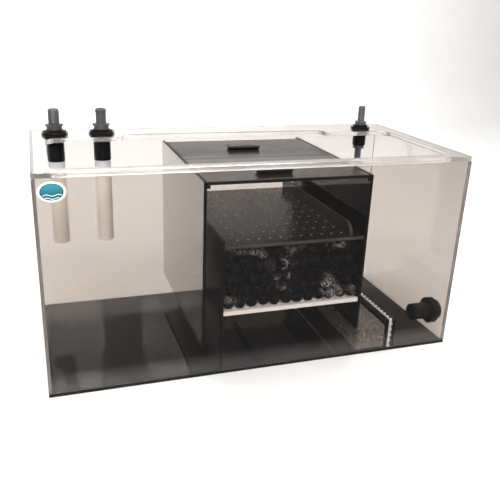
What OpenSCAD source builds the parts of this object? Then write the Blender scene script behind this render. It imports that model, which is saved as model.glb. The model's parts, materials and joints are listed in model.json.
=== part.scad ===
// Wet/dry (trickle) sump filter: a clear acrylic tank on a black base, with a black tower that holds
// a drip plate and a bed of bio-balls, hose fittings in its top brace and an outlet in its right end.
// Millimetres. The origin is the middle of the underside; the front faces -Y and +Z is up.

/* [Tank] */
// Length of the tank, left to right
tank_l = 813; // [790:1:915]
// Depth of the tank, front to back
tank_d = 381; // [375:1:420]
// Height to the top of the brace
tank_h = 406; // [404:1:440]
// Thickness of the tank and tower sheet
sheet_t = 6; // [5:0.5:7]
// Thickness of the top brace
brace_t = 9.5; // [8:0.5:10]
// Width of the brace along the front
brace_front_w = 25; // [22:1:32]
// Width of the brace at each end
brace_end_w = 30; // [25:1:35]
// Width of the brace along the middle of the back
brace_back_w = 71; // [60:1:75]
// Width of the brace where it carries fittings
brace_lobe_w = 100; // [90:1:105]

/* [Tower] */
// From the left end to the tower's left wall
tower_x = 278; // [270:1:285]
// Outside width of the tower
tower_w = 325; // [320:1:330]
// Height of the tower's top edge above the underside
tower_top = 378; // [372:1:380]
// Height of the water passage under the tower's walls
passage_h = 60; // [50:1:65]
// Gap between the left wall and the weir wall
weir_gap = 28.5; // [24:0.5:34]
// Height of the weir's top edge
weir_top = 269; // [264:1:275]
// Height of the drip plate's top face
plate_top = 258; // [250:1:262]
// Diameter of a drip hole
drip_hole_d = 4.6; // [3:0.1:6]
// Spacing of the drip holes, left to right
drip_pitch_x = 21.1; // [18:0.1:22]
// Spacing of the drip holes, front to back
drip_pitch_y = 36.6; // [34:0.1:38]
// Height of the dam on the drip plate
dam_h = 25; // [20:1:28]
// Underside of the grate that carries the bio-balls
grate_z = 120; // [110:1:125]

/* [Grates and foam] */
// Cell spacing of the white grates
cell = 12.7; // [12:0.1:16]
// Thickness of the white grates
grate_t = 8; // [6:0.5:10]
// Thickness of a grate's ribs
rib_t = 1.8; // [1.5:0.1:2.5]
// Length of the foam block, left to right
foam_l = 65; // [50:1:70]
// Height of the foam block
foam_h = 52; // [40:1:52]
// Height of the divider's top edge
divider_top = 69; // [60:1:80]

/* [Fittings] */
// From the left end to the first inlet
inlet_1_x = 49.5; // [46:0.5:54]
// From the left end to the second inlet
inlet_2_x = 142; // [135:1:145]
// From the right end to the return fitting
return_x = 76; // [70:1:85]
// From the back to the axis of the brace fittings
fitting_back = 59; // [57:1:64]
// Length of a down pipe
pipe_l = 160; // [100:1:220]
// From the front to the axis of the outlet
outlet_front = 48; // [44:1:60]
// Height of the outlet's axis
outlet_z = 58; // [50:1:70]

/* [Hidden] */
$fn = 64;

clear_acrylic = [0.82, 0.79, 0.77, 0.3];
black_acrylic = [0.05, 0.05, 0.055];
black_plastic = [0.07, 0.07, 0.075];
grey_plastic = [0.27, 0.28, 0.3];
white_plastic = [0.93, 0.93, 0.92];
pipe_white = [0.88, 0.85, 0.8];

slip = 0.5;                 // clearance round a piece that lifts out
fit = 0.1;                  // radial clearance of a glued or threaded fit
wall_top = tank_h - brace_t;

left = -tank_l / 2;         // outer faces of the tank
right = tank_l / 2;
front = -tank_d / 2;
back = tank_d / 2;
in_front = front + sheet_t; // inner faces of the tank
in_back = back - sheet_t;
in_d = in_back - in_front;

tower_l = left + tower_x;   // outer faces of the tower
tower_r = tower_l + tower_w;
weir_l = tower_l + sheet_t + weir_gap;
bay_l = weir_l + sheet_t;   // the bay that holds the plate and the bio-balls
bay_r = tower_r - sheet_t;
ledge_w = 6;
ledge_h = 6;

// ---------- shared shapes ----------

// A box given by its two corners
module block(x0, x1, y0, y1, z0, z1) {
    translate([x0, y0, z0]) cube([x1 - x0, y1 - y0, z1 - z0]);
}

// A flat rectangle with rounded corners, given by its two corners
module rounded_rect(x0, x1, y0, y1, r) {
    translate([x0 + r, y0]) square([x1 - x0 - 2 * r, y1 - y0]);
    translate([x0, y0 + r]) square([x1 - x0, y1 - y0 - 2 * r]);
    for (x = [x0 + r, x1 - r], y = [y0 + r, y1 - r]) translate([x, y]) circle(r);
}

// A round tube; the ends are at z0 and z1
module tube(r_out, r_in, z0, z1) {
    translate([0, 0, z0]) difference() {
        cylinder(r = r_out, h = z1 - z0);
        translate([0, 0, -1]) cylinder(r = r_in, h = z1 - z0 + 2);
    }
}

// ---------- tank ----------

module bottom_panel() {
    color(black_acrylic) block(left, right, front, back, 0, sheet_t);
}

module long_panel(y0) {
    color(clear_acrylic) block(left, right, y0, y0 + sheet_t, sheet_t, wall_top);
}

module front_panel() long_panel(front);

module back_panel() long_panel(in_back);

module left_end_panel() {
    color(clear_acrylic) block(left, left + sheet_t, in_front, in_back, sheet_t, wall_top);
}

module right_end_panel() {
    color(clear_acrylic) difference() {
        block(right - sheet_t, right, in_front, in_back, sheet_t, wall_top);
        translate([right - sheet_t - 1, front + outlet_front, outlet_z])
            rotate([0, 90, 0]) cylinder(r = outlet_r + 2 * fit, h = sheet_t + 2);
    }
}

lobe_l = 168;               // length of each lobe of the brace, from the tank's end
lobe_r = 14;                // radius of the curves that lead into a lobe
opening_r = 25;             // radius of the opening's corners
// The brace's opening: a main rectangle, a bay between the lobes and the curves that join them
module brace_opening() {
    lobe_y = back - brace_lobe_w;
    bay_y = back - brace_back_w;
    rounded_rect(left + brace_end_w, right - brace_end_w, front + brace_front_w, lobe_y, opening_r);
    rounded_rect(left + lobe_l + lobe_r, right - lobe_l - lobe_r, front + tank_d / 3, bay_y, lobe_r);
    for (side = [-1, 1]) translate([side * (tank_l / 2 - lobe_l - lobe_r), lobe_y]) difference() {
        translate([side > 0 ? -1 : -lobe_r, -1]) square([lobe_r + 1, lobe_r + 1]);
        translate([side * lobe_r, lobe_r]) circle(lobe_r);
    }
}

module top_brace() {
    color(clear_acrylic) translate([0, 0, wall_top]) linear_extrude(brace_t) difference() {
        rounded_rect(left, right, front, back, 4);
        brace_opening();
        for (x = [left + inlet_1_x, left + inlet_2_x])
            translate([x, back - fitting_back]) circle(inlet_r + 2 * fit);
        translate([right - return_x, back - fitting_back]) circle(return_r + 2 * fit);
    }
}

badge_w = 45;
badge_h = 34;
module badge() {
    oval = [for (a = [0 : 7.5 : 352.5]) [badge_w / 2 * cos(a), badge_h / 2 * sin(a)]];
    color("teal") translate([left + 30, front, 375]) rotate([90, 0, 0]) linear_extrude(0.6) polygon(oval);
}

// ---------- tower ----------

module tower_wall(x0, z0, z1) {
    color(black_acrylic) block(x0, x0 + sheet_t, in_front, in_back, z0, z1);
}

module tower_left_wall() tower_wall(tower_l, passage_h, tower_top);

module weir_wall() tower_wall(weir_l, sheet_t, weir_top);

module tower_right_wall() tower_wall(tower_r - sheet_t, passage_h, tower_top);

// A square strip glued to a wall, its top face at z
module ledge(x0, z, y1 = in_back) {
    color(black_acrylic) block(x0, x0 + ledge_w, in_front, y1, z - ledge_h, z);
}

lid_z = tower_top - sheet_t;
plate_z = plate_top - sheet_t;

module lid_ledge_left() ledge(tower_l + sheet_t, lid_z);

module lid_ledge_right() ledge(bay_r - ledge_w, lid_z);

module plate_ledge_left() ledge(bay_l, plate_z);

module plate_ledge_right() ledge(bay_r - ledge_w, plate_z);

module grate_ledge_left() ledge(bay_l, grate_z);

module grate_ledge_right() ledge(bay_r - ledge_w, grate_z);

beam_h = 20;
module grate_beam() {
    middle = (bay_l + bay_r) / 2;
    color(black_acrylic) block(middle - sheet_t / 2, middle + sheet_t / 2, in_front, in_back,
                               grate_z - beam_h, grate_z);
}

// A flat grate of square cells, w by d, from its corner; start is the first cell's corner, and a
// cell that runs past an edge is cut open there
module grate(w, d, t, start) {
    nx = ceil((w - start[0] - rib_t) / cell);
    ny = ceil((d - start[1] - rib_t) / cell);
    linear_extrude(t) difference() {
        square([w, d]);
        translate(start) for (i = [0 : nx - 1], j = [0 : ny - 1])
            translate([i * cell, j * cell]) square(cell - rib_t);
    }
}

// Where the first cell starts so that whole cells fill a length and leave a rim at both ends
function whole_cells(length) = (length - floor((length - rib_t) / cell) * cell + rib_t) / 2;

module media_grate() {
    w = bay_r - bay_l - 2 * slip;
    d = in_d - 2 * slip;
    color(white_plastic) translate([bay_l + slip, in_front + slip, grate_z])
        grate(w, d, grate_t, [whole_cells(w), whole_cells(d)]);
}

module bio_ball_bed() {
    color("dimgray") block(bay_l + slip, bay_r - slip, in_front + slip, in_back - slip,
                           grate_z + grate_t, plate_z - ledge_h);
}

drip_cols = 11;
drip_rows = 9;
drip_first = [31.4, 28];    // first hole, from the bay's left side and the inner face of the front
module drip_plate() {
    color(black_acrylic) translate([bay_l + slip, in_front + slip, plate_z]) linear_extrude(sheet_t)
        difference() {
            square([bay_r - bay_l - 2 * slip, in_d - 2 * slip]);
            translate(drip_first) for (i = [0 : drip_cols - 1], j = [0 : drip_rows - 1])
                translate([i * drip_pitch_x, j * drip_pitch_y]) circle(d = drip_hole_d, $fn = 24);
        }
}

dam_right = 22;             // from the dam to the tower's right wall
dam_front = 7;              // from the inner face of the front to the foot of the dam
module drip_dam() {
    dam_l = in_d - dam_front - 2 * slip;
    color(black_acrylic)
        translate([bay_r - dam_right - sheet_t, in_front + dam_front, plate_top])
        rotate([90, 0, 90]) linear_extrude(sheet_t) intersection() {
            square([dam_l, dam_h]);
            union() {
                translate([dam_h, 0]) circle(dam_h);
                translate([dam_h, 0]) square([dam_l, dam_h]);
            }
        }
}

// ---------- lids ----------

lid_l = 175;              // each lid, front to back
lid_seam = 2;               // gap between the two lids
module lid(y0) {
    color(black_acrylic)
        block(tower_l + sheet_t + slip, bay_r - slip, y0, y0 + lid_l, lid_z, tower_top);
}

front_lid_y = in_front + slip;
rear_lid_y = front_lid_y + lid_l + lid_seam;

module front_lid() lid(front_lid_y);

module rear_lid() lid(rear_lid_y);

grip_w = 68;
grip_d = 25;
riser_d = 10;
grip_t = 4.8;
front_grip_x = left + 425;  // middle of the front lid's handle
rear_grip_x = left + 431;   // middle of the rear lid's handle
front_grip_y = front + 57;
rear_grip_y = front + 264;

// Half of a finger pull: a strip d deep around x and y, its underside at z
module pull_strip(x, y, d, z) {
    color(black_acrylic) block(x - grip_w / 2, x + grip_w / 2, y - d / 2, y + d / 2, z, z + grip_t);
}

module front_handle_riser() pull_strip(front_grip_x, front_grip_y, riser_d, tower_top);

module front_handle_grip() pull_strip(front_grip_x, front_grip_y, grip_d, tower_top + grip_t);

module rear_handle_riser() pull_strip(rear_grip_x, rear_grip_y, riser_d, tower_top);

module rear_handle_grip() pull_strip(rear_grip_x, rear_grip_y, grip_d, tower_top + grip_t);

// ---------- foam and divider ----------

foam_gap = 1;
divider_l = tower_r + foam_gap + foam_l + foam_gap;
module foam_block() {
    color("darkslategray") block(tower_r + foam_gap, tower_r + foam_gap + foam_l,
                                 in_front + slip, in_back - slip, sheet_t, sheet_t + foam_h);
}

module divider_plate(x0) {
    color(black_acrylic) block(x0, x0 + sheet_t, in_front, in_back, sheet_t, divider_top);
}

screen_x = divider_l + sheet_t + slip;
module divider_plate_inner() divider_plate(divider_l);

module divider_plate_outer() divider_plate(screen_x + grate_t + slip);

module divider_screen() {
    color(white_plastic) translate([screen_x, in_front + slip, sheet_t]) rotate([90, 0, 90])
        grate(in_d - 2 * slip, divider_top - sheet_t, grate_t, [-cell / 2, rib_t]);
}

// ---------- fittings in the brace ----------

inlet_r = 17.3;             // outside of an inlet's barrel
return_r = 15;              // outside of the return fitting's barrel
gasket_t = 2;

// Body of a bulkhead fitting standing on z = 0, the face of its flange that meets the gasket.
// rise is the length above that face, drop the length below it.
module bulkhead_body(r, flange_r, flange_t, rise, drop, socket_r, way_r, socket_l) {
    color(black_plastic) difference() {
        union() {
            translate([0, 0, -drop]) cylinder(r = r, h = rise + drop);
            translate([0, 0, -flange_t]) cylinder(r = flange_r, h = flange_t);
        }
        translate([0, 0, -drop - 1]) cylinder(r = way_r, h = rise + drop + 2);
        translate([0, 0, -drop - 1]) cylinder(r = socket_r, h = socket_l + 1);
        translate([0, 0, rise - socket_l]) cylinder(r = socket_r, h = socket_l + 1);
    }
}

// Flanged lock nut: a wide disc and, above it, a six-sided hub
module lock_nut(disc_r, bore_r, t) {
    disc_t = 4.5;
    color(black_plastic) difference() {
        union() {
            cylinder(r = disc_r, h = disc_t);
            cylinder(r = disc_r * 0.86, h = t, $fn = 6);
        }
        translate([0, 0, -1]) cylinder(r = bore_r, h = t + 2);
    }
}

// Hose tail with a hexagonal collar: spigot below z = 0, then a hub, the collar, a shank and ribs.
// top is the height of its tip, rib_h how far a rib stands out, n the number of ribs.
module hose_tail(spigot_r, spigot_l, hub_r, hub_h, hex_r, hex_h, shank_r, rib_h, n, top, way_r) {
    start = hub_h + hex_h + 3;
    pitch = (top - start) / n;
    profile = [
        [way_r, -spigot_l], [spigot_r, -spigot_l], [spigot_r, 0], [hub_r, 0], [hub_r, hub_h + 1],
        [shank_r, hub_h + 1], [shank_r, start],
        for (i = [0 : n - 1]) each [
            [shank_r + rib_h, start + i * pitch],
            [shank_r, start + (i + 0.9) * pitch],
            if (i < n - 1) [shank_r, start + (i + 1) * pitch]
        ],
        [shank_r - 0.6, top], [way_r, top]
    ];
    color(grey_plastic) {
        rotate_extrude() polygon(profile);
        difference() {
            translate([0, 0, hub_h]) cylinder(r = hex_r, h = hex_h, $fn = 6);
            translate([0, 0, hub_h - 1]) cylinder(r = shank_r - 1, h = hex_h + 2);
        }
    }
}

// Plain hose tail: a smooth tube with a bead at its tip
module plain_tail(spigot_r, spigot_l, hub_r, hub_h, hex_r, hex_h, shank_r, bead_h, top, way_r) {
    bead = 4;
    profile = [
        [way_r, -spigot_l], [spigot_r, -spigot_l], [spigot_r, 0], [hub_r, 0], [hub_r, hub_h + 1],
        [shank_r, hub_h + 1], [shank_r, top - 2 * bead], [shank_r + bead_h, top - 1.3 * bead],
        [shank_r + bead_h, top - 0.6 * bead], [shank_r - 1, top], [way_r, top]
    ];
    color(grey_plastic) {
        rotate_extrude() polygon(profile);
        difference() {
            translate([0, 0, hub_h]) cylinder(r = hex_r, h = hex_h, $fn = 6);
            translate([0, 0, hub_h - 1]) cylinder(r = shank_r - 1, h = hex_h + 2);
        }
    }
}

inlet_nut_t = 8.5;
inlet_rise = brace_t + gasket_t + inlet_nut_t + 2;
inlet_drop = 42;
inlet_socket_r = 13.4;
inlet_socket_l = 20;
inlet_face = wall_top - gasket_t;        // upper face of an inlet's flange
tail_tip = 51;                           // height of a hose tail's tip above the brace

module at_inlet(x) {
    translate([left + x, back - fitting_back, inlet_face]) children();
}

module inlet_body(x) {
    at_inlet(x) bulkhead_body(inlet_r, 21, 3, inlet_rise, inlet_drop, inlet_socket_r, 11, inlet_socket_l);
}

module inlet_gasket(x) {
    color("black") at_inlet(x) tube(21, inlet_r + fit, 0, gasket_t);
}

module inlet_nut(x) {
    at_inlet(x) translate([0, 0, gasket_t + brace_t]) lock_nut(26, inlet_r + fit, inlet_nut_t);
}

coupler_h = 14;
coupler_spigot = 18;
module inlet_coupler(x) {
    color(grey_plastic) at_inlet(x) translate([0, 0, -inlet_drop]) {
        tube(16.5, 10.5, -coupler_h, 0);
        tube(inlet_socket_r - fit, 10.5, 0, coupler_spigot);
        tube(inlet_socket_r - fit, 10.5, -coupler_h - coupler_spigot, -coupler_h);
    }
}

module inlet_pipe(x) {
    color(pipe_white) at_inlet(x) translate([0, 0, -inlet_drop - coupler_h - pipe_l])
        tube(16.7, inlet_socket_r, 0, pipe_l);
}

module inlet_1_body() inlet_body(inlet_1_x);

module inlet_1_gasket() inlet_gasket(inlet_1_x);

module inlet_1_nut() inlet_nut(inlet_1_x);

module inlet_1_hose_tail() {
    at_inlet(inlet_1_x) translate([0, 0, inlet_rise])
        hose_tail(inlet_socket_r - fit, 18, 15, 6.5, 17.5, 4, 9.8, 1.6, 7, tail_tip - inlet_nut_t - 2, 8);
}

module inlet_1_coupler() inlet_coupler(inlet_1_x);

module inlet_1_pipe() inlet_pipe(inlet_1_x);

module inlet_2_body() inlet_body(inlet_2_x);

module inlet_2_gasket() inlet_gasket(inlet_2_x);

module inlet_2_nut() inlet_nut(inlet_2_x);

module inlet_2_hose_tail() {
    at_inlet(inlet_2_x) translate([0, 0, inlet_rise])
        plain_tail(inlet_socket_r - fit, 18, 15, 6.5, 17.5, 4, 10.4, 0.8, tail_tip - inlet_nut_t - 2, 8);
}

module inlet_2_coupler() inlet_coupler(inlet_2_x);

module inlet_2_pipe() inlet_pipe(inlet_2_x);

return_nut_t = 7.5;
return_rise = brace_t + gasket_t + return_nut_t + 2;
return_drop = 27;
return_socket_r = 10.6;

module at_return() {
    translate([right - return_x, back - fitting_back, inlet_face]) children();
}

module return_body() {
    at_return() bulkhead_body(return_r, 18.5, 3, return_rise, return_drop, return_socket_r, 8.5, 14);
}

module return_gasket() {
    color("black") at_return() tube(18.5, return_r + fit, 0, gasket_t);
}

module return_nut() {
    at_return() translate([0, 0, gasket_t + brace_t]) lock_nut(22, return_r + fit, return_nut_t);
}

module return_tail(ribs, top) {
    hose_tail(return_socket_r - fit, 12, 11.5, 3, 14.5, 4, 7.2, 0.9, ribs, top, 5.6);
}

module return_hose_tail() {
    at_return() translate([0, 0, return_rise]) return_tail(5, tail_tip - return_nut_t - 2);
}

module return_lower_tail() {
    at_return() translate([0, 0, -return_drop]) mirror([0, 0, 1]) return_tail(5, 40);
}

// ---------- outlet in the right end ----------

outlet_r = 17;              // outside of the outlet's threaded neck
outlet_barrel_r = 18;       // outside of the barrel inside the tank
outlet_inside = 54;         // reach of the barrel inside the tank
outlet_flange_t = 12;
outlet_nut_t = 6;
outlet_neck = 9;            // reach of the neck outside the tank
outlet_socket_l = 22;

// Puts z = 0 on the outer face of the right end, with +Z pointing out of the tank
module at_outlet() {
    translate([right, front + outlet_front, outlet_z]) rotate([0, 90, 0]) children();
}

module outlet_body() {
    reach = outlet_inside + sheet_t;
    seat = -sheet_t - gasket_t;
    color(black_plastic) at_outlet() difference() {
        union() {
            translate([0, 0, -reach]) cylinder(r = outlet_barrel_r, h = reach + seat);
            translate([0, 0, seat - outlet_flange_t]) cylinder(r = 28, h = outlet_flange_t);
            translate([0, 0, seat]) cylinder(r = outlet_r, h = outlet_neck - seat);
        }
        translate([0, 0, -reach - 1]) cylinder(r = 12, h = reach + 20);
        translate([0, 0, outlet_neck - outlet_socket_l])
            cylinder(r = inlet_socket_r, h = outlet_socket_l + 1);
        translate([0, 0, -reach - 1]) cylinder(r = inlet_socket_r, h = 24);
    }
}

module outlet_gasket() {
    color("black") at_outlet() translate([0, 0, -sheet_t - gasket_t]) tube(26, outlet_r + fit, 0, gasket_t);
}

// Round nut with four grip notches, outside the end panel
module outlet_nut() {
    color(black_plastic) at_outlet() difference() {
        cylinder(r = 21, h = outlet_nut_t);
        translate([0, 0, -1]) cylinder(r = outlet_r + fit, h = outlet_nut_t + 2);
        for (a = [45 : 90 : 315]) rotate([0, 0, a]) translate([19.7, -2.5, 2]) cube([5, 5, outlet_nut_t]);
    }
}

// ---------- what is drawn ----------

bottom_panel();
front_panel();
back_panel();
left_end_panel();
right_end_panel();
top_brace();
badge();
tower_left_wall();
weir_wall();
tower_right_wall();
lid_ledge_left();
lid_ledge_right();
plate_ledge_left();
plate_ledge_right();
grate_ledge_left();
grate_ledge_right();
grate_beam();
media_grate();
bio_ball_bed();
drip_plate();
drip_dam();
front_lid();
front_handle_riser();
front_handle_grip();
rear_lid();
rear_handle_riser();
rear_handle_grip();
foam_block();
divider_plate_inner();
divider_screen();
divider_plate_outer();
inlet_1_body();
inlet_1_gasket();
inlet_1_nut();
inlet_1_hose_tail();
inlet_1_coupler();
inlet_1_pipe();
inlet_2_body();
inlet_2_gasket();
inlet_2_nut();
inlet_2_hose_tail();
inlet_2_coupler();
inlet_2_pipe();
return_body();
return_gasket();
return_nut();
return_hose_tail();
return_lower_tail();
outlet_body();
outlet_gasket();
outlet_nut();
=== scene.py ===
import json
import math
import random

import bmesh
import bpy
from mathutils import Euler, Matrix, Vector, noise


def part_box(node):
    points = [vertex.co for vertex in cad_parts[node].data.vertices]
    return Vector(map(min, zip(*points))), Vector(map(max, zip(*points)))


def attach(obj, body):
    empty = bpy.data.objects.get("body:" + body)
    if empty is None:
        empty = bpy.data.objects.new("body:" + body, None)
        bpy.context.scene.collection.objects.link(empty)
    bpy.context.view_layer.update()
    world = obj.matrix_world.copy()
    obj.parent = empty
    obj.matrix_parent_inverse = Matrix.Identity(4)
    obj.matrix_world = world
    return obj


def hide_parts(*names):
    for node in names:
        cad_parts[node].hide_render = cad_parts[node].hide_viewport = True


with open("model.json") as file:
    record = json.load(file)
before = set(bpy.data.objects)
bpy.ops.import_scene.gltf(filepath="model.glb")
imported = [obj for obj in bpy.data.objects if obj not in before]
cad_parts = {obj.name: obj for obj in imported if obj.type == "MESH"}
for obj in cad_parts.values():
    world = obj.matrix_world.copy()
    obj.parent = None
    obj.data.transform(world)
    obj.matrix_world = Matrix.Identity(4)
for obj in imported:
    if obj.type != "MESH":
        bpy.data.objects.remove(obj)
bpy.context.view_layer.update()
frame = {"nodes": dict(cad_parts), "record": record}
rng = random.Random(7)
scene = bpy.context.scene
scene.view_settings.view_transform = "Standard"

BODY = {n: b for b, nodes in frame["record"]["behaviour"]["bodies"].items() for n in nodes}
NODES = frame["nodes"]

# ---------------------------------------------------------------- camera, fitted to the tank's corners
AZ, EL, ROLL = math.radians(19.09), math.radians(20.587), math.radians(2.29)
EYE = Vector((-0.3918, -1.2005, 0.6512))
look = Vector((math.sin(AZ) * math.cos(EL), math.cos(AZ) * math.cos(EL), -math.sin(EL)))
side = look.cross(Vector((0, 0, 1))).normalized()
over = side.cross(look)
r2 = math.cos(ROLL) * side + math.sin(ROLL) * over
u2 = -math.sin(ROLL) * side + math.cos(ROLL) * over
cam_data = bpy.data.cameras.new("camera")
cam_data.lens = 45.53
cam_data.clip_start, cam_data.clip_end = 0.05, 60
cam = bpy.data.objects.new("camera", cam_data)
scene.collection.objects.link(cam)
cam.matrix_world = Matrix(((r2.x, u2.x, -look.x, EYE.x), (r2.y, u2.y, -look.y, EYE.y),
                           (r2.z, u2.z, -look.z, EYE.z), (0, 0, 0, 1)))
scene.camera = cam


# ---------------------------------------------------------------- material helpers
def tree(name):
    m = bpy.data.materials.new(name)
    m.use_nodes = True
    t = m.node_tree
    return m, t, t.nodes["Principled BSDF"]


def add(t, kind, **values):
    """A new node; keys name inputs, or plain properties where the node has them."""
    n = t.nodes.new(kind)
    for k, v in values.items():
        if k in n.inputs:
            n.inputs[k].default_value = v
        else:
            setattr(n, k, v)
    return n


def coords(t, scale=(1, 1, 1)):
    c = t.nodes.new("ShaderNodeTexCoord")
    mp = t.nodes.new("ShaderNodeMapping")
    mp.inputs["Scale"].default_value = scale
    t.links.new(c.outputs["Object"], mp.inputs["Vector"])
    return mp.outputs["Vector"]


def fractal(t, vec, scale, detail=4.0, rough=0.55):
    n = add(t, "ShaderNodeTexNoise", Scale=scale, Detail=detail, Roughness=rough)
    t.links.new(vec, n.inputs["Vector"])
    return n.outputs["Fac"]


def spread(t, fac, low, high, lo_in=0.3, hi_in=0.7):
    n = t.nodes.new("ShaderNodeMapRange")
    for k, v in (("From Min", lo_in), ("From Max", hi_in), ("To Min", low), ("To Max", high)):
        n.inputs[k].default_value = v
    t.links.new(fac, n.inputs["Value"])
    return n.outputs["Result"]


def two_tone(t, fac, dark, light, lo=0.3, hi=0.7):
    r = t.nodes.new("ShaderNodeValToRGB")
    r.color_ramp.elements[0].position, r.color_ramp.elements[1].position = lo, hi
    r.color_ramp.elements[0].color, r.color_ramp.elements[1].color = (*dark, 1), (*light, 1)
    t.links.new(fac, r.inputs["Fac"])
    return r.outputs["Color"]


def relief(t, p, height, strength, distance, under=None):
    b = add(t, "ShaderNodeBump", Strength=strength, Distance=distance)
    t.links.new(height, b.inputs["Height"])
    if under is not None:
        t.links.new(under, b.inputs["Normal"])
    t.links.new(b.outputs["Normal"], p.inputs["Normal"])
    return b.outputs["Normal"]


def clear_sheet(name, tint_and_painted_shade, rough):
    """Cast acrylic: real refraction for the eye, and a clear way through for light and shadow."""
    m, t, p = tree(name)
    v = coords(t)
    wave = fractal(t, v, 5.0, 2.0)
    smear = fractal(t, v, 26.0, 6.0, 0.65)
    p.inputs["Transmission Weight"].default_value = 1.0
    p.inputs["IOR"].default_value = 1.49
    # the sheet's colour carries painted shade as well as its own faint tinge
    t.links.new(two_tone(t, smear, tuple(0.985 * c for c in tint_and_painted_shade), tint_and_painted_shade), p.inputs["Base Color"])
    t.links.new(spread(t, smear, rough, rough * 2 + 0.002), p.inputs["Roughness"])
    relief(t, p, wave, 0.1, 0.0004)
    out = t.nodes["Material Output"]
    path = t.nodes.new("ShaderNodeLightPath")
    clear = t.nodes.new("ShaderNodeBsdfTransparent")
    clear.inputs["Color"].default_value = (*(0.5 + 0.5 * c for c in tint_and_painted_shade), 1)
    both = add(t, "ShaderNodeMath", operation="MAXIMUM")
    t.links.new(path.outputs["Is Shadow Ray"], both.inputs[0])
    t.links.new(path.outputs["Is Diffuse Ray"], both.inputs[1])
    mix = t.nodes.new("ShaderNodeMixShader")
    t.links.new(both.outputs[0], mix.inputs["Fac"])
    t.links.new(p.outputs["BSDF"], mix.inputs[1])
    t.links.new(clear.outputs["BSDF"], mix.inputs[2])
    t.links.new(mix.outputs["Shader"], out.inputs["Surface"])
    return m


def polished_edge():
    """The cut edge of a clear sheet, painted pale as a stand-in for the light it gathers, with fine saw
    lines in the polish.
    """
    m, t, p = tree("polished_edge")
    v = coords(t)
    saw = fractal(t, coords(t, (60, 60, 900)), 1.0, 3.0)
    glow = fractal(t, v, 9.0, 4.0)
    # painted highlight: pale mottled colour in place of light caught in the edge
    t.links.new(two_tone(t, glow, (0.62, 0.58, 0.56), (0.9, 0.87, 0.85)), p.inputs["Base Color"])
    t.links.new(spread(t, saw, 0.04, 0.12), p.inputs["Roughness"])
    p.inputs["Transmission Weight"].default_value = 0.83
    p.inputs["IOR"].default_value = 1.49
    relief(t, p, saw, 0.2, 0.0002)
    return m


def plastic(name, dark, light, rough, grain=160.0, grain_depth=0.00012, wave=0.0, spec=0.5, coat=0.0):
    """Moulded, sawn or cast plastic: mottled colour, uneven gloss, a fine grain and a slow wave."""
    m, t, p = tree(name)
    v = coords(t)
    mottle = fractal(t, v, 14.0, 5.0)
    fine = fractal(t, v, grain, 6.0, 0.6)
    t.links.new(two_tone(t, mottle, dark, light), p.inputs["Base Color"])
    t.links.new(spread(t, fine, rough[0], rough[1]), p.inputs["Roughness"])
    p.inputs["Specular IOR Level"].default_value = spec
    p.inputs["Coat Weight"].default_value = coat
    n = relief(t, p, fine, 0.35, grain_depth)
    if wave:
        relief(t, p, fractal(t, v, 3.2, 1.5), 0.3, wave, n)
    return m


def ball_material():
    """Near-black ribs with little gloss; here and there a few of them carry pale specks, painted glints of
    light on the spikes.
    """
    m, t, p = tree("black_ball")
    v = coords(t)
    fine = fractal(t, v, 500.0, 5.0)
    black = two_tone(t, fine, (0.003, 0.003, 0.0033), (0.01, 0.01, 0.0108))
    # painted glints: scattered patches of pale specks stand in for light catching the spikes
    where = spread(t, fractal(t, v, 16.0, 2.0), 0.0, 1.0, 0.575, 0.63)
    grain = spread(t, fractal(t, v, 620.0, 1.0), 0.0, 1.0, 0.56, 0.6)
    both = add(t, "ShaderNodeMath", operation="MULTIPLY")
    t.links.new(where, both.inputs[0])
    t.links.new(grain, both.inputs[1])
    # the pale colour of the painted glints
    mix = add(t, "ShaderNodeMixRGB")
    mix.inputs["Color2"].default_value = (0.9, 0.91, 0.95, 1)
    t.links.new(both.outputs[0], mix.inputs["Fac"])
    t.links.new(black, mix.inputs["Color1"])
    t.links.new(mix.outputs["Color"], p.inputs["Base Color"])
    t.links.new(spread(t, fine, 0.3, 0.46), p.inputs["Roughness"])
    p.inputs["Specular IOR Level"].default_value = 0.14
    relief(t, p, fine, 0.3, 0.00006)
    return m


def foam_material():
    m, t, p = tree("open_cell_foam")
    v = coords(t)
    cells = add(t, "ShaderNodeTexVoronoi", feature="DISTANCE_TO_EDGE", Scale=300.0)
    t.links.new(v, cells.inputs["Vector"])
    big = fractal(t, v, 60.0, 5.0)
    # paler at the cell walls, near black towards each cell's middle: the foam's own dark grey, with painted
    # shade in the pores
    foam_tone_and_pore_shade = two_tone(t, cells.outputs["Distance"], (0.17, 0.158, 0.148), (0.01, 0.0095, 0.009), 0.0, 0.3)
    # pale specks: painted glints of light on the cell struts
    specks = spread(t, fractal(t, v, 320.0, 1.0), 0.0, 0.5, 0.57, 0.68)
    mix = add(t, "ShaderNodeMixRGB")
    mix.inputs["Color2"].default_value = (0.62, 0.58, 0.55, 1)
    t.links.new(specks, mix.inputs["Fac"])
    t.links.new(foam_tone_and_pore_shade, mix.inputs["Color1"])
    t.links.new(mix.outputs["Color"], p.inputs["Base Color"])
    t.links.new(spread(t, big, 0.75, 0.95), p.inputs["Roughness"])
    p.inputs["Specular IOR Level"].default_value = 0.3
    n = relief(t, p, cells.outputs["Distance"], 0.9, -0.0012)
    relief(t, p, big, 0.5, 0.001, n)
    return m


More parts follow.
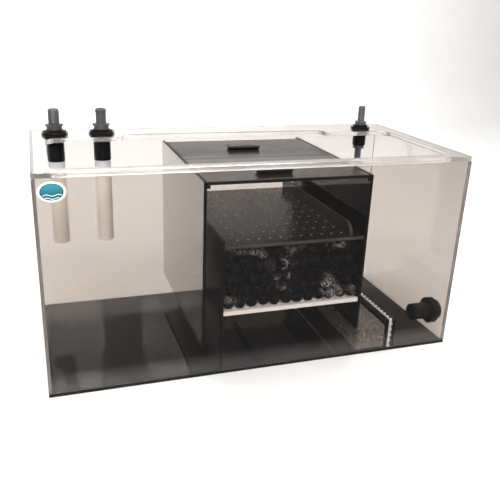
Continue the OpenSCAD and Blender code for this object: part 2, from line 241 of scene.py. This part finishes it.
def badge_material():
    """White rim, a thin dark ring inside it, and a teal field, darker downwards, with two pale waves."""
    m, t, p = tree("badge_print")
    c = t.nodes.new("ShaderNodeTexCoord")
    sep = t.nodes.new("ShaderNodeSeparateXYZ")
    t.links.new(c.outputs["UV"], sep.inputs[0])

    def math_node(op, a, b=None):
        n = add(t, "ShaderNodeMath", operation=op)
        for i, x in enumerate((a, b)):
            if x is None:
                continue
            if isinstance(x, (int, float)):
                n.inputs[i].default_value = x
            else:
                t.links.new(x, n.inputs[i])
        return n.outputs[0]

    u, w = sep.outputs["X"], sep.outputs["Y"]
    du, dw = math_node("SUBTRACT", u, 0.5), math_node("SUBTRACT", w, 0.5)
    rad = math_node("MULTIPLY", math_node("SQRT", math_node("ADD", math_node("MULTIPLY", du, du),
                                                           math_node("MULTIPLY", dw, dw))), 2.0)
    swell = math_node("MULTIPLY", math_node("SINE", math_node("MULTIPLY", u, 15.0)), 0.035)
    level = math_node("ADD", w, swell)
    bands = math_node("SINE", math_node("MULTIPLY", level, 42.0))
    low = math_node("LESS_THAN", level, 0.46)
    crest = math_node("MULTIPLY", math_node("GREATER_THAN", bands, 0.72), low)
    field = two_tone(t, w, (0.004, 0.06, 0.1), (0.035, 0.25, 0.31), 0.15, 0.85)
    mix1 = add(t, "ShaderNodeMixRGB")
    mix1.inputs["Color2"].default_value = (0.62, 0.82, 0.84, 1)
    t.links.new(crest, mix1.inputs["Fac"])
    t.links.new(field, mix1.inputs["Color1"])
    ring = add(t, "ShaderNodeMixRGB")
    ring.inputs["Color2"].default_value = (0.01, 0.035, 0.055, 1)
    t.links.new(math_node("GREATER_THAN", rad, 0.76), ring.inputs["Fac"])
    t.links.new(mix1.outputs["Color"], ring.inputs["Color1"])
    mix2 = add(t, "ShaderNodeMixRGB")
    mix2.inputs["Color2"].default_value = (0.86, 0.86, 0.84, 1)
    t.links.new(math_node("GREATER_THAN", rad, 0.82), mix2.inputs["Fac"])
    t.links.new(ring.outputs["Color"], mix2.inputs["Color1"])
    t.links.new(mix2.outputs["Color"], p.inputs["Base Color"])
    p.inputs["Roughness"].default_value = 0.25
    p.inputs["Coat Weight"].default_value = 0.4
    relief(t, p, fractal(t, coords(t), 300.0, 3.0), 0.15, 0.0001)
    return m


# The warm grey is far deeper than clear acrylic's own: painted shade, darkening everything seen through the
# tank as a shaded room behind it would.
CLEAR = clear_sheet("clear_acrylic", (0.715, 0.675, 0.645), 0.003)
RIM = polished_edge()
BLACK = plastic("black_acrylic", (0.0028, 0.0027, 0.0026), (0.0055, 0.0052, 0.005),
                (0.02, 0.06), 900.0, 0.000004, 0.00012)
FLOOR = plastic("black_acrylic_floor", (0.0028, 0.0027, 0.0026), (0.0055, 0.0052, 0.005),
                (0.03, 0.08), 900.0, 0.000004, 0.00012, 0.3)
SATIN = plastic("satin_black_lid", (0.011, 0.0105, 0.01), (0.016, 0.015, 0.014),
                (0.17, 0.25), 260.0, 0.00001, 0.0, 0.17)
PLATE = plastic("scuffed_black_plate", (0.006, 0.0058, 0.0056), (0.012, 0.0115, 0.011),
                (0.2, 0.3), 260.0, 0.00001, 0.0, 0.36)
# Same black acrylic for the tower's left wall, glossier, and painted lighter: the lighter colour stands in
# for light falling on it.
BLACK_PAINTED_LIGHTER = plastic("black_acrylic_outer_painted_lighter", (0.008, 0.008, 0.008), (0.014, 0.0135, 0.0135),
                 (0.02, 0.05), 900.0, 0.000004, 0.0001, 1.0, 1.0)
SAWN = plastic("sawn_black_edge", (0.006, 0.006, 0.006), (0.016, 0.0155, 0.015),
               (0.3, 0.5), 700.0, 0.0001, 0.0, 0.12)
GRIP = plastic("black_handle", (0.006, 0.0058, 0.0056), (0.014, 0.0135, 0.013),
               (0.1, 0.2), 500.0, 0.00002, 0.0, 0.2)
# Black cut edges painted pale: painted highlight standing in for light caught on their polish.
EDGE_PAINTED_HIGHLIGHT = plastic("polished_black_edge_painted_highlight", (0.035, 0.033, 0.031), (0.09, 0.085, 0.08),
                    (0.1, 0.25), 700.0, 0.0001)
# Pale grey hole walls: partly the frosting drilling leaves, partly painted highlight where light catches
# the rims.
DRILLED_FROST_AND_HIGHLIGHT = plastic("drilled_rim_frost_and_highlight", (0.3, 0.29, 0.28), (0.5, 0.49, 0.47), (0.2, 0.4), 700.0, 0.0001)
WHITE = plastic("white_grate", (0.9, 0.905, 0.92), (0.97, 0.97, 0.98), (0.32, 0.5), 420.0, 0.0002)
BALL = ball_material()
MOULDED = plastic("black_moulded", (0.004, 0.004, 0.0042), (0.01, 0.01, 0.0105),
                  (0.16, 0.32), 600.0, 0.0001, 0.0, 0.3)
RUBBER = plastic("gasket_rubber", (0.01, 0.01, 0.01), (0.02, 0.02, 0.021), (0.6, 0.8), 500.0, 0.0003)
LIGHT_GREY = plastic("light_grey_pvc", (0.42, 0.44, 0.45), (0.56, 0.58, 0.6), (0.2, 0.36), 300.0, 0.0001)
GREY = plastic("grey_pvc", (0.05, 0.053, 0.059), (0.095, 0.099, 0.108), (0.3, 0.5), 520.0, 0.0002)
PIPE = plastic("white_pipe", (0.76, 0.69, 0.62), (0.86, 0.8, 0.73), (0.3, 0.46), 300.0, 0.0002)
FOAM = foam_material()
BADGE = badge_material()


# ---------------------------------------------------------------- mesh helpers
def new_piece(name, bm, mats, body, replaced=(), smooth=True):
    me = bpy.data.meshes.new(name)
    bm.to_mesh(me)
    bm.free()
    for m in mats:
        me.materials.append(m)
    if smooth:
        me.shade_smooth()
    o = bpy.data.objects.new(name, me)
    scene.collection.objects.link(o)
    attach(o, body)
    if replaced:
        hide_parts(*replaced)
    return o


def finish_edges(o, width, segments=2):
    b = o.modifiers.new("bevel", "BEVEL")
    b.width, b.segments, b.limit_method, b.angle_limit = width, segments, "ANGLE", math.radians(35)
    b.material = 1
    return o


def sheet(node, face, edge, bevel=0.0006):
    """A flat sheet with eased edges in place of a node: its faces and its cut edges look different."""
    lo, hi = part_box(node)
    size = hi - lo
    thin = min(range(3), key=lambda i: size[i])
    bm = bmesh.new()
    bmesh.ops.create_cube(bm, size=1.0)
    for v in bm.verts:
        v.co = Vector(lo[i] + (v.co[i] + 0.5) * size[i] for i in range(3))
    bmesh.ops.bevel(bm, geom=bm.edges[:], offset=bevel, segments=2, profile=0.6, affect="EDGES",
                    clamp_overlap=True)
    bm.normal_update()
    for f in bm.faces:
        f.material_index = 0 if abs(f.normal[thin]) > 0.92 else 1
    o = new_piece(node + "_sheet", bm, [face, edge], BODY[node], [node])
    o.modifiers.new("normals", "WEIGHTED_NORMAL").keep_sharp = True
    return o


HOLE_FACE = 1.5e-5       # square metres: the faces of drilled holes are smaller, other cut edges larger


def cut_sheet(node, face, edge, thin=2, bevel=0.0006, drilled=None):
    """As sheet(), from the node's own outline, for a sheet with holes or curves in it.

    drilled is the material of the small faces that make up the walls of drilled holes.
    """
    bm = bmesh.new()
    bm.from_mesh(NODES[node].data)
    bmesh.ops.remove_doubles(bm, verts=bm.verts, dist=1e-6)
    bmesh.ops.dissolve_limit(bm, angle_limit=math.radians(1), verts=bm.verts, edges=bm.edges)
    bm.normal_update()
    for f in bm.faces:
        f.material_index = 0 if abs(f.normal[thin]) > 0.92 else 1
        if drilled and f.material_index and f.calc_area() < HOLE_FACE:
            f.material_index = 2
    mats = [face, edge, drilled] if drilled else [face, edge]
    o = new_piece(node + "_cut", bm, mats, BODY[node], [node], smooth=False)
    finish_edges(o, bevel).modifiers["bevel"].material = len(mats) - 1
    return o


def repaint(node, mat):
    me = NODES[node].data
    me.materials.clear()
    me.materials.append(mat)


# ---------------------------------------------------------------- tank, tower and lids
for n in ("front_panel", "back_panel", "left_end_panel"):
    sheet(n, CLEAR, RIM)
cut_sheet("right_end_panel", CLEAR, RIM, 0)
cut_sheet("top_brace", CLEAR, RIM, 2, 0.0009)
sheet("bottom_panel", FLOOR, SAWN)
sheet("tower_left_wall", BLACK_PAINTED_LIGHTER, SAWN)
for n in ("weir_wall", "tower_right_wall", "lid_ledge_left", "lid_ledge_right",
          "plate_ledge_left", "plate_ledge_right", "grate_ledge_left", "grate_ledge_right", "grate_beam",
          "divider_plate_inner", "divider_plate_outer"):
    sheet(n, BLACK, SAWN)
for n in ("front_lid", "rear_lid"):
    sheet(n, SATIN, SAWN, 0.0009)
for n in ("front_handle_riser", "front_handle_grip", "rear_handle_riser", "rear_handle_grip"):
    sheet(n, GRIP, EDGE_PAINTED_HIGHLIGHT if n.endswith("grip") else SAWN, 0.0009)
cut_sheet("drip_plate", PLATE, EDGE_PAINTED_HIGHLIGHT, 2, 0.0006, DRILLED_FROST_AND_HIGHLIGHT)
cut_sheet("drip_dam", BLACK, EDGE_PAINTED_HIGHLIGHT, 0, 0.0006)

for n in BODY:
    if n in ("media_grate", "divider_screen"):
        repaint(n, WHITE)
    elif n.endswith("_gasket"):
        repaint(n, RUBBER)
    elif n.endswith(("_body", "_nut")):
        repaint(n, MOULDED)
    elif n.endswith("_coupler"):
        repaint(n, LIGHT_GREY)
    elif n.endswith("_tail"):
        repaint(n, GREY)
    elif n.endswith("_pipe"):
        repaint(n, PIPE)


# ---------------------------------------------------------------- badge
def make_badge():
    lo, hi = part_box("badge")
    mid, half = (lo + hi) / 2, (hi - lo) / 2
    bm = bmesh.new()
    uv = bm.loops.layers.uv.new("UVMap")
    n, rings = 72, ((0.0, 1.0), (0.5, 0.98), (0.86, 0.92), (0.97, 0.7), (1.0, 0.35), (1.0, -1.0))
    loops = []
    for k, (s, y) in enumerate(rings):
        turns = [2 * math.pi * i / n for i in range(n if k else 1)]
        loops.append([bm.verts.new((mid.x + half.x * s * math.cos(a), mid.y - half.y * y,
                                    mid.z + half.z * s * math.sin(a))) for a in turns])
    for i in range(n):
        bm.faces.new((loops[0][0], loops[1][i], loops[1][(i + 1) % n]))
    for a, b in zip(loops[1:], loops[2:]):
        for i in range(n):
            bm.faces.new((a[i], b[i], b[(i + 1) % n], a[(i + 1) % n]))
    bm.faces.new(loops[-1])
    bmesh.ops.recalc_face_normals(bm, faces=bm.faces)
    for f in bm.faces:
        for lp in f.loops:
            c = lp.vert.co
            lp[uv].uv = (0.5 + (c.x - mid.x) / half.x / 2, 0.5 + (c.z - mid.z) / half.z / 2)
    new_piece("badge_oval", bm, [BADGE], BODY["badge"], ["badge"])


make_badge()


# ---------------------------------------------------------------- bio-balls
BALL_R = 0.0118          # a little over half a row's pitch, so neighbours in a row just touch
BALL_PLAY = 0.001        # left free between the bed's faces and the outer balls
BALL_JITTER = 0.0012
BALL_COLS, BALL_LAYERS = 12, 5
HUB_R, FIN_T, FIN_REACH = 0.0012, 0.0011, 78      # a fin's reach is in degrees up and down from its middle
DISC_T, DISC_HOLE = 0.001, 0.0015
BAR_HALF, BAR_FROM = 0.0005, 0.003
INSET = 0.93             # discs and bars end a little inside the fins' outline


def thin_box(bm, verts8):
    v = [bm.verts.new(c) for c in verts8]
    for q in ((0, 1, 2, 3), (7, 6, 5, 4), (0, 4, 5, 1), (1, 5, 6, 2), (2, 6, 7, 3), (3, 7, 4, 0)):
        bm.faces.new([v[i] for i in q])


def fin(bm, angle, r_in, r, t, steps):
    """Half a disc standing on the ball's axis, from r_in out to the ball's radius."""
    ca, sa = math.cos(angle), math.sin(angle)
    rows = []
    for i in range(steps + 1):
        a = math.radians(-FIN_REACH + 2 * FIN_REACH * i / steps)
        z, out = r * math.sin(a), max(r * math.cos(a), r_in + 0.0004)
        rows.append([bm.verts.new((d * ca - s * sa, d * sa + s * ca, z))
                     for d, s in ((r_in, -t / 2), (out, -t / 2), (out, t / 2), (r_in, t / 2))])
    for a, b in zip(rows, rows[1:]):
        for k in range(4):
            bm.faces.new((a[k], a[(k + 1) % 4], b[(k + 1) % 4], b[k]))
    bm.faces.new(rows[0][::-1])
    bm.faces.new(rows[-1])


def disc(bm, r, z, t, steps, r_in=0.0):
    turns = [2 * math.pi * i / steps for i in range(steps)]
    rows = [[bm.verts.new((q * math.cos(a), q * math.sin(a), h)) for a in turns]
            for q, h in ((r_in, z - t / 2), (r, z - t / 2), (r, z + t / 2), (r_in, z + t / 2))]
    for a, b in zip(rows, rows[1:] + rows[:1]):
        for i in range(steps):
            bm.faces.new((a[i], b[i], b[(i + 1) % steps], a[(i + 1) % steps]))


def ball_mesh(name, r, fins, steps, spikes):
    """Half-disc fins round an axis, crossed by discs; with spikes, also thin bars between the fins."""
    bm = bmesh.new()
    for i in range(fins):
        fin(bm, 2 * math.pi * i / fins, HUB_R, r, FIN_T, steps)
    for z in (-0.5, 0.0, 0.5) if spikes else (0.0,):
        disc(bm, r * math.sqrt(1 - z * z) * INSET, z * r, DISC_T, 20 if spikes else 10, DISC_HOLE)
    for i in range(fins if spikes else 0):
        a = 2 * math.pi * (i + 0.5) / fins
        for z in (-0.25, 0.25):
            c = Vector((math.cos(a), math.sin(a), 0))
            s = Vector((-math.sin(a), math.cos(a), 0)) * BAR_HALF
            up = Vector((0, 0, BAR_HALF))
            level = Vector((0, 0, z * r))
            a0, a1 = c * BAR_FROM + level, c * r * INSET + level
            thin_box(bm, (a0 - s - up, a0 + s - up, a0 + s + up, a0 - s + up,
                          a1 - s - up, a1 + s - up, a1 + s + up, a1 - s + up))
    bmesh.ops.recalc_face_normals(bm, faces=bm.faces)
    me = bpy.data.meshes.new(name)
    bm.to_mesh(me)
    bm.free()
    return me


def make_balls():
    """Rows of balls, every other one set half a pitch over; those at the front and back are finely made."""
    lo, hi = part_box("bio_ball_bed")
    r = BALL_R
    fine, plain = ball_mesh("ball_fine", r, 12, 10, True), ball_mesh("ball_plain", r, 8, 5, False)
    nx, nz = BALL_COLS, BALL_LAYERS
    dx = (hi.x - lo.x - 2 * r - BALL_PLAY) / (nx - 1)
    dy = dx * 0.93
    ny = int((hi.y - lo.y - 2 * r - BALL_PLAY) / dy) + 1
    dy = (hi.y - lo.y - 2 * r - BALL_PLAY) / (ny - 1)
    dz = (hi.z - lo.z - 2 * r - BALL_PLAY) / (nz - 1)
    bm = bmesh.new()
    for k in range(nz):
        for j in range(ny):
            for i in range(nx - (j + k) % 2):
                x = lo.x + r + BALL_PLAY / 2 + dx * (i + 0.5 * ((j + k) % 2))
                y = lo.y + r + BALL_PLAY / 2 + dy * j
                z = lo.z + r + BALL_PLAY / 2 + dz * k
                jit = Vector((rng.uniform(-1, 1), rng.uniform(-1, 1), rng.uniform(-1, 1))) * BALL_JITTER
                p = Vector((x, y, z)) + jit
                p = Vector(min(max(p[a], lo[a] + r), hi[a] - r) for a in range(3))
                spin = Euler((rng.uniform(0, 6.28), rng.uniform(0, 6.28), rng.uniform(0, 6.28)))
                turn = spin.to_matrix().to_4x4()
                near = j == 0 or j == ny - 1 or (j == 1 and k in (0, nz - 1))
                me = (fine if near else plain).copy()
                me.transform(Matrix.Translation(p) @ turn)
                bm.from_mesh(me)
                bpy.data.meshes.remove(me)
    o = new_piece("bio_balls", bm, [BALL], BODY["bio_ball_bed"], ["bio_ball_bed"], smooth=False)
    bpy.data.meshes.remove(fine)
    bpy.data.meshes.remove(plain)
    return o


make_balls()


# ---------------------------------------------------------------- foam block
PIT_DEPTH, DIP_DEPTH = 0.0016, 0.0011


def make_foam():
    """The block's six faces as one fine closed grid, pulled in by soft corners and open pits."""
    lo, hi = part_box("foam_block")
    size, step, soft = hi - lo, 0.0032, 0.004
    counts = [max(2, round(size[a] / step)) for a in range(3)]
    bm = bmesh.new()
    grid = {}

    def vert(i, j, k):
        key = (i, j, k)
        if key not in grid:
            grid[key] = bm.verts.new([lo[a] + size[a] * key[a] / counts[a] for a in range(3)])
        return grid[key]

    for a in range(3):
        b, c = (a + 1) % 3, (a + 2) % 3
        for end in (0, counts[a]):
            for s in range(counts[b]):
                for q in range(counts[c]):
                    corner = []
                    for ds, dq in ((0, 0), (1, 0), (1, 1), (0, 1)):
                        key = [0, 0, 0]
                        key[a], key[b], key[c] = end, s + ds, q + dq
                        corner.append(vert(*key))
                    bm.faces.new(corner if end else corner[::-1])
    inner_lo, inner_hi = lo + Vector((soft,) * 3), hi - Vector((soft,) * 3)
    for v in bm.verts:
        core = Vector(min(max(v.co[a], inner_lo[a]), inner_hi[a]) for a in range(3))
        out = (v.co - core).normalized()
        pit = max(0.0, noise.noise(v.co * 190)) * PIT_DEPTH + abs(noise.noise(v.co * 38)) * DIP_DEPTH
        v.co = core + out * (soft - 0.0001 - pit)
    bmesh.ops.recalc_face_normals(bm, faces=bm.faces)
    o = new_piece("foam_pad", bm, [FOAM], BODY["foam_block"], ["foam_block"])


make_foam()


# ---------------------------------------------------------------- stage and light
BEND_Y, BEND_R, BACK_TOP = 2.2, 1.0, 1.55
MIRROR_DARK, MIRROR_PALE = -0.27, -0.215    # places along y; the front panel stands at -0.19


def make_stage():
    """Pale floor curving up into a backdrop.

    Rays that were mirrored on their way find it dark in front of MIRROR_DARK and pale behind MIRROR_PALE,
    so its image in the front panel doesn't grey the blacks inside. Looked at directly, or through the
    tank, it is pale everywhere.
    """
    bm = bmesh.new()
    xs = (-6, 6)
    prof = [(-5.0, 0.0), (BEND_Y, 0.0)]
    bends = [math.radians(9 * i) for i in range(1, 11)]
    prof += [(BEND_Y + BEND_R * math.sin(a), BEND_R - BEND_R * math.cos(a)) for a in bends]
    prof += [(BEND_Y + BEND_R, BACK_TOP)]
    rows = [[bm.verts.new((x, y, z)) for x in xs] for y, z in prof]
    for a, b in zip(rows, rows[1:]):
        bm.faces.new((a[0], a[1], b[1], b[0]))
    bmesh.ops.recalc_face_normals(bm, faces=bm.faces)
    me = bpy.data.meshes.new("floor")
    bm.to_mesh(me)
    bm.free()
    m, t, p = tree("pale_floor")
    cloud = two_tone(t, fractal(t, coords(t), 3.0), (0.8, 0.795, 0.785), (0.83, 0.826, 0.82))
    t.links.new(cloud, p.inputs["Base Color"])
    p.inputs["Roughness"].default_value = 0.55
    sep = t.nodes.new("ShaderNodeSeparateXYZ")
    t.links.new(coords(t), sep.inputs[0])
    path = t.nodes.new("ShaderNodeLightPath")
    near = spread(t, sep.outputs["Y"], 0.95, 0.0, MIRROR_DARK, MIRROR_PALE)
    mirrored = add(t, "ShaderNodeMath", operation="MINIMUM")
    t.links.new(path.outputs["Is Glossy Ray"], mirrored.inputs[0])
    t.links.new(path.outputs["Glossy Depth"], mirrored.inputs[1])
    both = add(t, "ShaderNodeMath", operation="MULTIPLY")
    t.links.new(mirrored.outputs[0], both.inputs[0])
    t.links.new(near, both.inputs[1])
    dim = add(t, "ShaderNodeMixRGB")
    dim.inputs["Color2"].default_value = (0.02, 0.019, 0.018, 1)
    t.links.new(both.outputs[0], dim.inputs["Fac"])
    t.links.new(p.inputs["Base Color"].links[0].from_socket, dim.inputs["Color1"])
    t.links.new(dim.outputs["Color"], p.inputs["Base Color"])
    me.materials.append(m)
    me.shade_smooth()
    o = bpy.data.objects.new("floor", me)
    o.location.z = -0.0002
    scene.collection.objects.link(o)


def area(name, at, aim, size, power, colour=(1, 1, 1)):
    d = bpy.data.lights.new(name, "AREA")
    d.shape, d.size, d.size_y, d.energy, d.color = "RECTANGLE", size[0], size[1], power, colour
    o = bpy.data.objects.new(name, d)
    o.location = at
    o.rotation_euler = (Vector(aim) - Vector(at)).to_track_quat("-Z", "Y").to_euler()
    scene.collection.objects.link(o)


make_stage()
area("key", (-1.5, -1.5, 2.7), (0, 0, 0.15), (1.3, 1.0), 50, (1, 0.985, 0.97))
area("spark", (0.75, -1.7, 1.9), (0.05, 0, 0.2), (0.12, 0.12), 9, (1, 0.99, 0.98))
area("front", (-0.5, -2.6, 1.7), (0, 0, 0.2), (1.0, 0.7), 60, (1, 0.99, 0.98))
area("fill", (2.4, -1.0, 1.7), (0, 0, 0.2), (1.2, 1.2), 16, (0.98, 0.99, 1))
area("backdrop_wash", (-0.25, 1.2, 3.0), (-0.1, 2.9, 0.3), (4.2, 0.8), 132)
area("top", (0.1, 0.3, 2.8), (0, 0.1, 0), (1.6, 0.6), 30)

# World: pale near the horizon, dimmer overhead and towards the front
world = bpy.data.worlds.new("studio")
world.use_nodes = True
wt = world.node_tree
wc = wt.nodes.new("ShaderNodeTexCoord")
ws = wt.nodes.new("ShaderNodeSeparateXYZ")
wt.links.new(wc.outputs["Generated"], ws.inputs[0])
high = two_tone(wt, ws.outputs["Z"], (0.9, 0.885, 0.87), (0.2, 0.19, 0.185), 0.3, 0.55)
front = spread(wt, ws.outputs["Y"], 0.45, 1.0, -0.5, 0.15)
mul = add(wt, "ShaderNodeMixRGB", blend_type="MULTIPLY", Fac=1.0)
wt.links.new(high, mul.inputs["Color1"])
wt.links.new(front, mul.inputs["Color2"])
wt.links.new(mul.outputs["Color"], wt.nodes["Background"].inputs["Color"])
wt.nodes["Background"].inputs["Strength"].default_value = 0.9
scene.world = world
